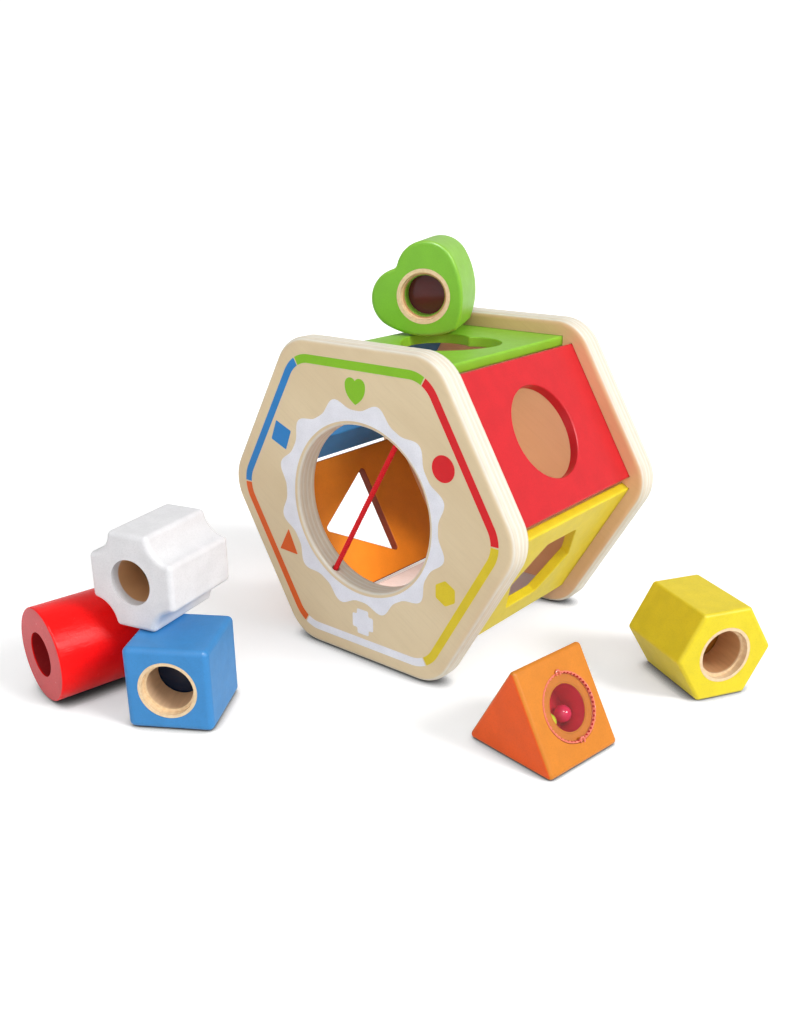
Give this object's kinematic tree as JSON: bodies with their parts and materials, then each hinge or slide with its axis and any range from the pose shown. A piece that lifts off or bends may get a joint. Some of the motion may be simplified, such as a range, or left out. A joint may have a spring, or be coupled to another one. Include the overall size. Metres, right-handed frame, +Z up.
{
  "type": "shape sorter",
  "caption": "Hexagonal wooden shape-sorting box with pierced boards, an elastic cord across its round front opening, and loose blocks that post through the matching holes.",
  "frame": {"origin": "centre of the front plate's resting face, on the floor", "axes": "+Z up; +Y along the box's axis, from the front plate with the round opening to the rear plate; +X to the right seen from the front"},
  "size_m": [0.2416, 0.2193, 0.1712],
  "materials": {
    "plywood": "birch plywood under clear lacquer, layers showing on the edges",
    "bare_wood": "turned beech, clear lacquer",
    "green_paint": "semi-gloss green paint",
    "red_paint": "semi-gloss red paint",
    "yellow_paint": "semi-gloss yellow paint",
    "white_paint": "semi-gloss white paint",
    "orange_paint": "semi-gloss orange paint",
    "blue_paint": "semi-gloss blue paint",
    "elastic": "braided red elastic",
    "red_lens": "dark red transparent plastic",
    "brown_lens": "dark transparent plastic",
    "blue_lens": "dark blue transparent plastic",
    "amber_lens": "amber transparent plastic",
    "clear_plastic": "clear plastic",
    "red_plastic": "moulded red plastic",
    "pink_plastic": "moulded pink plastic",
    "lime_plastic": "moulded lime plastic"
  },
  "bodies": {
    "box": {"front_plate": "plywood", "rear_plate": "plywood", "top_board": "green_paint", "upper_right_board": "red_paint", "lower_right_board": "yellow_paint", "bottom_board": "white_paint", "lower_left_board": "orange_paint", "upper_left_board": "blue_paint", "elastic_cord": "elastic"},
    "heart": {"heart_block": "green_paint", "heart_front_ring": "bare_wood", "heart_rear_ring": "bare_wood", "heart_lens": "red_lens"},
    "cylinder": {"cylinder_block": "red_paint"},
    "cross": {"cross_block": "white_paint", "cross_lens": "brown_lens"},
    "cube": {"cube_block": "blue_paint", "cube_front_tube": "bare_wood", "cube_rear_tube": "bare_wood", "cube_lens": "blue_lens"},
    "hexagon": {"hexagon_block": "yellow_paint", "hexagon_front_tube": "bare_wood", "hexagon_rear_tube": "bare_wood", "hexagon_lens": "amber_lens"},
    "triangle": {"triangle_block": "orange_paint", "triangle_window": "clear_plastic", "rattle_cup": "red_plastic"},
    "pink": {"pink_bead": "pink_plastic"},
    "lime": {"lime_bead": "lime_plastic"}
  },
  "joints": [
    {"name": "heart_lift", "type": "slide", "parent": "box", "child": "heart", "axis": [0, 0, 1], "range_m": [0, 0.08]},
    {"name": "cross_lift", "type": "slide", "parent": "box", "child": "cross", "axis": [0, 0, 1], "range_m": [0, 0.08]},
    {"name": "hexagon_lift", "type": "slide", "parent": "box", "child": "hexagon", "axis": [0, 0, 1], "range_m": [0, 0.08]},
    {"name": "triangle_slide", "type": "slide", "parent": "box", "child": "triangle", "axis": [-0.1582, -0.9874, 0], "range_m": [0, 0.06]},
    {"name": "cylinder_slide", "type": "slide", "parent": "box", "child": "cylinder", "axis": [-0.1564, -0.9877, 0], "range_m": [0, 0.06]},
    {"name": "cube_slide", "type": "slide", "parent": "box", "child": "cube", "axis": [0.5284, -0.849, 0], "range_m": [0, 0.06]},
    {"name": "pink_bead_roll", "type": "hinge", "parent": "triangle", "child": "pink", "pos_m": [0.10493, -0.01123, 0.01801], "axis": [0.8551, -0.137, 0.5], "continuous": true},
    {"name": "lime_bead_roll", "type": "hinge", "parent": "pink", "child": "lime", "pos_m": [0.10493, -0.01123, 0.01801], "axis": [0.8551, -0.137, 0.5], "range_deg": [-172, 32]}
  ]
}
